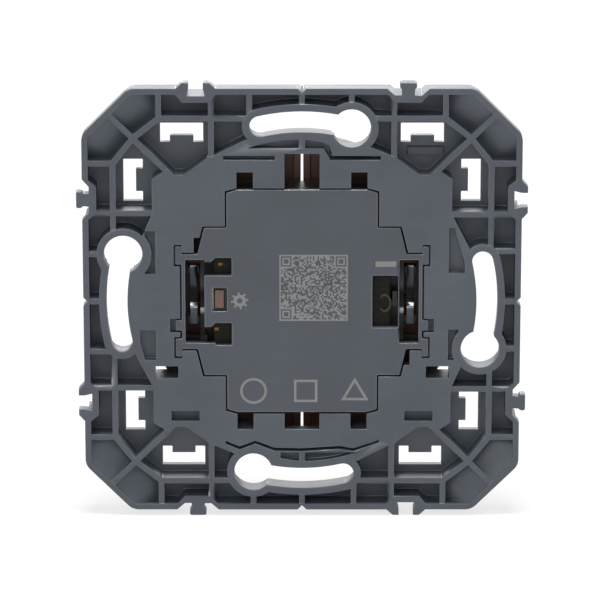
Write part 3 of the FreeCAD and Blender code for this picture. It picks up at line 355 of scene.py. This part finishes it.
nodeMaterials = {
    "support_frame": framePlastic, "rear_cover": coverPlastic, "module_tray": trayPlastic,
    "circuit_board": solderMask, "radio_chip": tinSheet, "storage_capacitor": sleevePlastic,
    "antenna_strip": gold, "setup_switch_body": switchPlastic, "setup_button": buttonPlastic,
    "iron_core": coreIron, "coil_bobbin": bobbinPlastic, "coil_winding": enamelledWire,
}
for side in ("left", "right"):
    nodeMaterials[side + "_drive_lever"] = leverSteel
    nodeMaterials[side + "_magnet"] = nickel
    nodeMaterials[side + "_rear_pole"] = coreIron
    nodeMaterials[side + "_front_pole"] = coreIron
    nodeMaterials[side + "_return_spring"] = springSteel
    nodeMaterials[side + "_pivot_pin"] = pinSteel
    nodeMaterials[side + "_key_carrier"] = backlitShadeCarrierPlastic
    nodeMaterials[side + "_key"] = keyPlastic
for name, material in nodeMaterials.items():
    node = frame["nodes"][name]
    node.data.materials.clear()
    node.data.materials.append(material)
print("materials on", len(nodeMaterials), "nodes")

bodyOf = {name: node["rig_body"] for name, node in frame["nodes"].items()}

# Moulded edges: a merged copy of a node, with each sharp edge rounded as a mould leaves it
copyRule = {
    "merge": 0.002 * mm,
    "flat": math.radians(1.0),        # faces that turn less than this become one
    "smooth": math.radians(32),       # edges that turn less than this are shaded smooth
    "nodeSmooth": math.radians(30),   # and on a node that keeps its own mesh
}
edgeRounds = {
    "support_frame": {"width": 0.08 * mm, "segments": 2, "paintedHighlightEdge": True, "cornerRamps": True},
    "rear_cover": {"width": 0.15 * mm, "segments": 3, "paintedHighlightEdge": True},
    "left_drive_lever": {"width": 0.06 * mm, "segments": 2},
    "right_drive_lever": {"width": 0.06 * mm, "segments": 2},
    "left_key_carrier": {"width": 0.1 * mm, "segments": 2},
    "right_key_carrier": {"width": 0.1 * mm, "segments": 2},
    "setup_button": {"width": 0.1 * mm, "segments": 2},
    "setup_switch_body": {"width": 0.05 * mm, "segments": 1},
}
cornerRule = {
    "sharpEdge": math.radians(35),     # edges that turn more than this are rounded
    "tightCorner": math.radians(42),   # corners narrower than this stay crisp
    "tightReach": 1.0 * mm,            # and so do edges that end this near to them
    "lowStep": 0.32 * mm,              # edges beside a step as low as this get a narrow round
    "lowStepShare": 0.4,               # of the full one
    "beside": (math.radians(50), math.radians(130)),   # they leave the step at such an angle
}


def weighEdges(piece):
    # the share of the full round that each edge gets
    shape = bmesh.new()
    shape.from_mesh(piece.data)
    layer = shape.edges.layers.float.new("bevel_weight_edge")
    sharp = [edge for edge in shape.edges
             if len(edge.link_faces) == 2 and edge.calc_face_angle() > cornerRule["sharpEdge"]]
    meeting = {}
    for edge in sharp:
        for vertex in edge.verts:
            meeting.setdefault(vertex, []).append((edge.other_vert(vertex).co - vertex.co).normalized())
    tight = []
    for vertex, ways in meeting.items():
        pairs = [(first, second) for index, first in enumerate(ways) for second in ways[index + 1:]]
        if any(first.angle(second, math.pi) < cornerRule["tightCorner"] for first, second in pairs):
            tight.append(vertex.co.copy())
    beside = set()
    for edge in sharp:
        if edge.calc_length() < cornerRule["lowStep"]:
            along = (edge.verts[1].co - edge.verts[0].co).normalized()
            for vertex in edge.verts:
                for other in vertex.link_edges:
                    turn = along.angle((other.verts[1].co - other.verts[0].co).normalized(), 0.0)
                    if cornerRule["beside"][0] < turn < cornerRule["beside"][1]:
                        beside.add(other)
    for edge in sharp:
        ends = [vertex.co for vertex in edge.verts]
        if any((end - place).length < cornerRule["tightReach"] for end in ends for place in tight):
            edge[layer] = 0.0
        elif edge in beside:
            edge[layer] = cornerRule["lowStepShare"]
        else:
            edge[layer] = 1.0
    shape.to_mesh(piece.data)
    shape.free()
    return len(tight)


# Corner pockets of the frame: depths behind the wall plane
cornerRamp = {
    "wallLine": 61.84 * mm,      # |x| + |z| along the inner side of each chamfered rim
    "wallReach": 0.4 * mm,       # a point this near to it is on it
    "pocketFloor": 4.0 * mm,
    "floorReach": 0.02 * mm,
    "inner": 2.5 * mm,           # the pocket's floor starts here at the ribs
    "outer": 0.5 * mm,           # and ends here at the rim
}


def raiseCornerFloors(piece):
    # the floors of the corner pockets slope up to the chamfered rim
    shape = bmesh.new()
    shape.from_mesh(piece.data)

    def onFloor(vertex):
        return abs(vertex.co.y - cornerRamp["pocketFloor"]) < cornerRamp["floorReach"]

    def onWall(vertex):
        return abs(abs(vertex.co.x) + abs(vertex.co.z) - cornerRamp["wallLine"]) < cornerRamp["wallReach"]

    floors = {face for face in shape.faces if all(onFloor(vertex) for vertex in face.verts)}
    waiting = [face for face in floors if any(onWall(vertex) for vertex in face.verts)]
    pockets = set(waiting)
    while waiting:
        for edge in waiting.pop().edges:
            for face in edge.link_faces:
                if face in floors and face not in pockets:
                    pockets.add(face)
                    waiting.append(face)
    points = {vertex for face in pockets for vertex in face.verts}
    outer = [vertex for vertex in points if onWall(vertex)]
    inner = [vertex for vertex in points if not onWall(vertex)]
    for vertex in outer:
        vertex.co.y = cornerRamp["outer"]
    for vertex in inner:
        vertex.co.y = cornerRamp["inner"]
    shape.to_mesh(piece.data)
    shape.free()
    print("corner floors:", len(inner), "inner and", len(outer), "outer points raised")


def roundedCopy(name, settings):
    source = frame["nodes"][name]
    piece = bpy.data.objects.new(name + "_moulded", source.data.copy())
    bpy.context.scene.collection.objects.link(piece)
    piece.data.materials.clear()
    piece.data.materials.append(nodeMaterials[name])
    # the rounds of the frame and the cover take the lighter edge colour, a painted highlight
    piece.data.materials.append(edgeHighlightPlastic if settings.get("paintedHighlightEdge") else nodeMaterials[name])
    pick(piece)
    bpy.ops.object.mode_set(mode="EDIT")
    bpy.ops.mesh.select_all(action="SELECT")
    bpy.ops.mesh.remove_doubles(threshold=copyRule["merge"])
    bpy.ops.mesh.dissolve_limited(angle_limit=copyRule["flat"])
    bpy.ops.mesh.quads_convert_to_tris(quad_method="BEAUTY", ngon_method="BEAUTY")
    bpy.ops.object.mode_set(mode="OBJECT")
    if settings.get("cornerRamps"):
        raiseCornerFloors(piece)
    tight = weighEdges(piece)
    addModifier(piece, "BEVEL", width=settings["width"], segments=settings["segments"],
                limit_method="WEIGHT", use_clamp_overlap=False, miter_outer="MITER_ARC", material=1)
    applyModifiers(piece)
    pick(piece)
    bpy.ops.object.shade_smooth_by_angle(angle=copyRule["smooth"])
    addModifier(piece, "WEIGHTED_NORMAL", weight=100, keep_sharp=True)
    applyModifiers(piece)
    print(name, "keeps", tight, "narrow corners crisp")
    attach(piece, bodyOf[name])
    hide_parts(name)
    return piece


for name, settings in edgeRounds.items():
    made = roundedCopy(name, settings)
    print("rounded", name, len(made.data.polygons), "faces")

for name, node in frame["nodes"].items():
    if name not in edgeRounds:
        pick(node)
        bpy.ops.object.shade_smooth_by_angle(angle=copyRule["nodeSmooth"])

# Print on the cover: pale ink about a hundredth of a millimetre thick
printLook = {
    "thickness": 0.012 * mm,
    "matrix": {"centre": (1.88 * mm, 2.34 * mm), "side": 11.1 * mm, "cells": 45, "filled": 0.46,
               "rings": (2, 4)},    # rings of a corner target, in cells from its middle
    "gear": {"centre": (-10.1 * mm, 0.17 * mm), "radius": 1.0 * mm, "hole": 0.46 * mm,
             "reach": 1.42, "teeth": 8},
    "bar": {"centre": (13.55 * mm, 6.33 * mm), "size": (3.3 * mm, 0.9 * mm)},
    "outlines": [
        {"name": "round_mark", "corners": 48, "centre": (-7.9 * mm, -15.1 * mm),
         "radius": 2.2 * mm, "wall": 0.42 * mm},
        {"name": "square_mark", "corners": 4, "centre": (0.6 * mm, -15.1 * mm),
         "radius": 2.7 * mm, "wall": 0.4 * mm},
        {"name": "triangle_mark", "corners": 3, "centre": (8.6 * mm, -15.4 * mm),
         "radius": 2.6 * mm, "wall": 0.42 * mm},
    ],
}
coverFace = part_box("rear_cover")[0][1]
upright = (math.radians(90), 0, 0)    # stands a flat primitive up, parallel to the wall


def selectFaces(piece, choose):
    # edit mode with only the faces that choose() picks
    pick(piece)
    bpy.ops.object.mode_set(mode="EDIT")
    bpy.context.tool_settings.mesh_select_mode = (False, False, True)
    bpy.ops.mesh.select_all(action="DESELECT")
    bpy.ops.object.mode_set(mode="OBJECT")
    for face in piece.data.polygons:
        face.select = choose(face)
    bpy.ops.object.mode_set(mode="EDIT")


def inkPiece(piece, name):
    # the faces turn away from the cover, and the ink gets its thickness that way
    piece.name = name
    selectFaces(piece, lambda face: face.normal.y > 0)
    bpy.ops.mesh.flip_normals()
    bpy.ops.object.mode_set(mode="OBJECT")
    addModifier(piece, "SOLIDIFY", thickness=printLook["thickness"], offset=1)
    applyModifiers(piece)
    finishPiece(piece, printInk, "frame")


def printMatrix(look):
    # square of pale cells, filled at random, with a border and three corner targets
    across, up = look["centre"]
    bpy.ops.mesh.primitive_grid_add(x_subdivisions=look["cells"], y_subdivisions=look["cells"],
                                    size=look["side"], location=(across, coverFace, up), rotation=upright)
    piece = bpy.context.object
    settle(piece)
    last = look["cells"] - 1
    cell = look["side"] / look["cells"]
    near = max(look["rings"])
    far = last - near
    targets = [(near, near), (near, far), (far, far)]
    inked = {}
    for column in range(last + 1):
        for row in range(last + 1):
            filled = random.random() < look["filled"]
            border = column in (0, last) or row in (0, last)
            for middleColumn, middleRow in targets:
                away = max(abs(column - middleColumn), abs(row - middleRow))
                if away <= near:
                    filled = away in look["rings"]
            inked[column, row] = filled or border

    def bare(face):
        column = int((face.center.x - across + look["side"] / 2) / cell)
        row = int((face.center.z - up + look["side"] / 2) / cell)
        return not inked[column, row]

    selectFaces(piece, bare)
    bpy.ops.mesh.delete(type="FACE")
    bpy.ops.object.mode_set(mode="OBJECT")
    inkPiece(piece, "print_matrix")


def outlineMark(look):
    # a disc, square or triangle with its middle taken out
    across, up = look["centre"]
    bpy.ops.mesh.primitive_circle_add(vertices=look["corners"], radius=look["radius"], fill_type="NGON",
                                      location=(across, coverFace, up), rotation=upright)
    piece = bpy.context.object
    if look["corners"] == 4:
        piece.rotation_euler[1] = math.radians(45)
    settle(piece)
    bpy.ops.object.mode_set(mode="EDIT")
    bpy.ops.mesh.select_all(action="SELECT")
    bpy.ops.mesh.inset(thickness=look["wall"])
    bpy.ops.mesh.delete(type="FACE")
    bpy.ops.object.mode_set(mode="OBJECT")
    return piece


def printGear(look):
    # a ring whose every third edge grows into a tooth
    across, up = look["centre"]
    piece = outlineMark({"centre": look["centre"], "corners": look["teeth"] * 3,
                         "radius": look["radius"], "wall": look["radius"] - look["hole"]})
    middle = Vector((across, coverFace, up))

    def onRim(edge):
        ends = [piece.data.vertices[index].co for index in edge.vertices]
        return all((end - middle).length > look["radius"] * 0.95 for end in ends)

    def turnOf(edge):
        ends = [piece.data.vertices[index].co for index in edge.vertices]
        place = sum(ends, Vector()) / 2 - middle
        return math.atan2(place.z, place.x)

    pick(piece)
    bpy.ops.object.mode_set(mode="EDIT")
    bpy.context.tool_settings.mesh_select_mode = (False, True, False)
    bpy.ops.mesh.select_all(action="DESELECT")
    bpy.ops.object.mode_set(mode="OBJECT")
    rim = sorted((edge for edge in piece.data.edges if onRim(edge)), key=turnOf)
    for edge in rim[::3]:
        edge.select = True
    bpy.ops.object.mode_set(mode="EDIT")
    bpy.ops.mesh.extrude_edges_move()
    bpy.ops.transform.resize(value=(look["reach"], 1, look["reach"]), center_override=middle)
    bpy.ops.object.mode_set(mode="OBJECT")
    inkPiece(piece, "print_gear")


def printBar(look):
    across, up = look["centre"]
    wide, tall = look["size"]
    bpy.ops.mesh.primitive_grid_add(x_subdivisions=8, y_subdivisions=2, size=1,
                                    location=(across, coverFace, up), rotation=upright)
    piece = bpy.context.object
    piece.scale = (wide, tall, 1)
    settle(piece)
    inkPiece(piece, "print_bar")


printMatrix(printLook["matrix"])
printGear(printLook["gear"])
printBar(printLook["bar"])
for look in printLook["outlines"]:
    inkPiece(outlineMark(look), look["name"])
print("print on the cover ready")

# Contacts on the board, seen through the cover's windows
contactLook = {
    "dome": 0.12 * mm,         # height of a pad's middle
    "raised": 0.04 * mm,       # and of all of it above the board
    "smooth": math.radians(40),
    "pads": [
        {"name": "upper_contact", "centre": (-13.2 * mm, 5.9 * mm), "size": (0.7 * mm, 0.6 * mm)},
        {"name": "lower_contact", "centre": (-13.9 * mm, -5.0 * mm), "size": (0.75 * mm, 0.6 * mm)},
    ],
    "loop": {"name": "aerial_contact", "centre": (13.4 * mm, -0.5 * mm), "radius": 1.1 * mm,
             "wall": 0.32 * mm, "stretch": 1.45, "flatSide": 0.62, "thickness": 0.25 * mm},
}
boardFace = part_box("circuit_board")[0][1]


def contactPad(look):
    # a soldered pad: a small grid, domed in the middle
    across, up = look["centre"]
    wide, tall = look["size"]
    bpy.ops.mesh.primitive_grid_add(x_subdivisions=6, y_subdivisions=6, size=1,
                                    location=(across, boardFace, up), rotation=upright)
    piece = bpy.context.object
    piece.name = look["name"]
    piece.scale = (wide, tall, 1)
    settle(piece)
    for vertex in piece.data.vertices:
        share = max(abs(vertex.co.x - across) / wide, abs(vertex.co.z - up) / tall) * 2
        vertex.co.y -= contactLook["dome"] * (1 - share ** 3)
    pick(piece)
    bpy.ops.object.mode_set(mode="EDIT")
    bpy.ops.mesh.select_all(action="SELECT")
    bpy.ops.mesh.extrude_region_move(TRANSFORM_OT_translate={"value": (0, -contactLook["raised"], 0)})
    bpy.ops.object.mode_set(mode="OBJECT")
    bpy.ops.object.shade_smooth_by_angle(angle=contactLook["smooth"])
    finishPiece(piece, dullGold, "frame")


def contactLoop(look):
    # a flat D-shaped contact, open in the middle
    piece = outlineMark({"centre": look["centre"], "corners": 24,
                         "radius": look["radius"], "wall": look["wall"]})
    piece.name = look["name"]
    across, up = look["centre"]
    for vertex in piece.data.vertices:
        vertex.co.x = max(vertex.co.x, across - look["radius"] * look["flatSide"])
        vertex.co.y = boardFace
        vertex.co.z = up + (vertex.co.z - up) * look["stretch"]
    addModifier(piece, "SOLIDIFY", thickness=look["thickness"], offset=1)
    applyModifiers(piece)
    finishPiece(piece, oliveBrass, "frame")


for look in contactLook["pads"]:
    contactPad(look)
contactLoop(contactLook["loop"])
print("contacts ready")

# Blank plate with a raised rim, on the floor of one window's pocket
plateLook = {
    "centre": (19.9 * mm, 24.3 * mm),
    "size": (6.0 * mm, 1.6 * mm),
    "floor": 4.0 * mm,         # depth of the pocket behind the wall plane
    "height": 0.3 * mm,
    "rim": 0.22 * mm,
    "sunk": 0.22 * mm,
    "round": 0.05 * mm,
}


def blankPlate(look):
    across, up = look["centre"]
    wide, tall = look["size"]
    bpy.ops.mesh.primitive_cube_add(size=1, location=(across, look["floor"] - look["height"] / 2, up))
    piece = bpy.context.object
    piece.name = "blank_plate"
    piece.scale = (wide, look["height"], tall)
    settle(piece)
    selectFaces(piece, lambda face: face.center.y < look["floor"] - look["height"] * 0.9)
    bpy.ops.mesh.inset(thickness=look["rim"])
    bpy.ops.transform.translate(value=(0, look["sunk"], 0))
    bpy.ops.object.mode_set(mode="OBJECT")
    addModifier(piece, "BEVEL", width=look["round"], segments=2, limit_method="ANGLE")
    applyModifiers(piece)
    finishPiece(piece, framePlastic, "frame")


blankPlate(plateLook)
print("blank plate ready")

# Stage: white table, soft light and the photo's camera
stageLook = {
    "floorLevel": -36.42 * mm,
    "floorSize": 6.0,
    "floorWhite": 0.72,                # how much of the floor is plain white whatever falls on it
    "ambient": 0.22,
    "lamps": {
        "keyLight": {"place": (-0.3, -1.1, 0.8), "size": 0.9, "power": 4.6},
        "fillLight": {"place": (0.6, -1.1, 0.3), "size": 0.9, "power": 0.3},
        "topLight": {"place": (0.0, -0.1, 1.1), "size": 0.3, "power": 12.0},
        "frontLight": {"place": (0.0, 1.05, 0.42), "size": 0.9, "power": 6.3},
    },
}


def plainRays(nodes, links):
    # 1 for a ray that shows the stage: from the camera, off a shiny surface or through a clear one
    path = nodes.new("ShaderNodeLightPath")
    shown = path.outputs["Is Camera Ray"]
    for kind in ("Is Glossy Ray", "Is Transmission Ray"):
        either = nodes.new("ShaderNodeMath")
        either.operation = "MAXIMUM"
        links.new(shown, either.inputs[0])
        links.new(path.outputs[kind], either.inputs[1])
        shown = either.outputs["Value"]
    return shown


def stageMaterial(name, colour):
    # shown, it is nearly plain white, and it still takes the object's shadow
    material, nodes, links, shader = newMaterial(name, colour, 0.9)
    shader.inputs["Specular IOR Level"].default_value = 0.1
    white = nodes.new("ShaderNodeEmission")
    white.inputs["Color"].default_value = (1, 1, 1, 1)
    white.inputs["Strength"].default_value = 1.0
    share = nodes.new("ShaderNodeMath")
    share.operation = "MULTIPLY"
    share.inputs[1].default_value = stageLook["floorWhite"]
    links.new(plainRays(nodes, links), share.inputs[0])
    mix = nodes.new("ShaderNodeMixShader")
    links.new(share.outputs["Value"], mix.inputs["Fac"])
    links.new(shader.outputs["BSDF"], mix.inputs[1])
    links.new(white.outputs["Emission"], mix.inputs[2])
    links.new(mix.outputs["Shader"], nodes["Material Output"].inputs["Surface"])
    return material


bpy.ops.mesh.primitive_plane_add(size=stageLook["floorSize"], location=(0, 0, stageLook["floorLevel"]))
table = bpy.context.object
table.name = "table"
table.data.materials.append(stageMaterial("tableWhite", (0.9, 0.9, 0.9)))
settle(table)

# the world lights softly and shows as plain white
world = bpy.data.worlds.new("softStudio")
bpy.context.scene.world = world
world.use_nodes = True
worldNodes = world.node_tree.nodes
worldLinks = world.node_tree.links
ambient = worldNodes["Background"]
ambient.inputs["Color"].default_value = (1, 1, 1, 1)
ambient.inputs["Strength"].default_value = stageLook["ambient"]
backdrop = worldNodes.new("ShaderNodeBackground")
backdrop.inputs["Color"].default_value = (1, 1, 1, 1)
backdrop.inputs["Strength"].default_value = 1.0
mix = worldNodes.new("ShaderNodeMixShader")
worldLinks.new(plainRays(worldNodes, worldLinks), mix.inputs["Fac"])
worldLinks.new(ambient.outputs["Background"], mix.inputs[1])
worldLinks.new(backdrop.outputs["Background"], mix.inputs[2])
worldLinks.new(mix.outputs["Shader"], worldNodes["World Output"].inputs["Surface"])

for name, look in stageLook["lamps"].items():
    bpy.ops.object.light_add(type="AREA", location=look["place"])
    lamp = bpy.context.object
    lamp.name = name
    lamp.data.size = look["size"]
    lamp.data.energy = look["power"]
    aim = -Vector(look["place"])
    lamp.rotation_euler = aim.to_track_quat("-Z", "Y").to_euler()

rise = math.radians(viewSettings["elevation"])
distance = viewSettings["distance"]
bpy.ops.object.camera_add(location=(0, -distance * math.cos(rise), distance * math.sin(rise)))
camera = bpy.context.object
camera.rotation_euler = (math.radians(90) - rise, 0, 0)
camera.data.lens = viewSettings["focal"]
camera.data.sensor_width = viewSettings["sensor"]
camera.data.shift_x = -viewSettings["centreRight"]
camera.data.shift_y = viewSettings["centreDown"]
camera.data.clip_start = viewSettings["nearest"]
bpy.context.scene.camera = camera
bpy.context.scene.view_settings.view_transform = "Standard"
print("stage and camera ready")
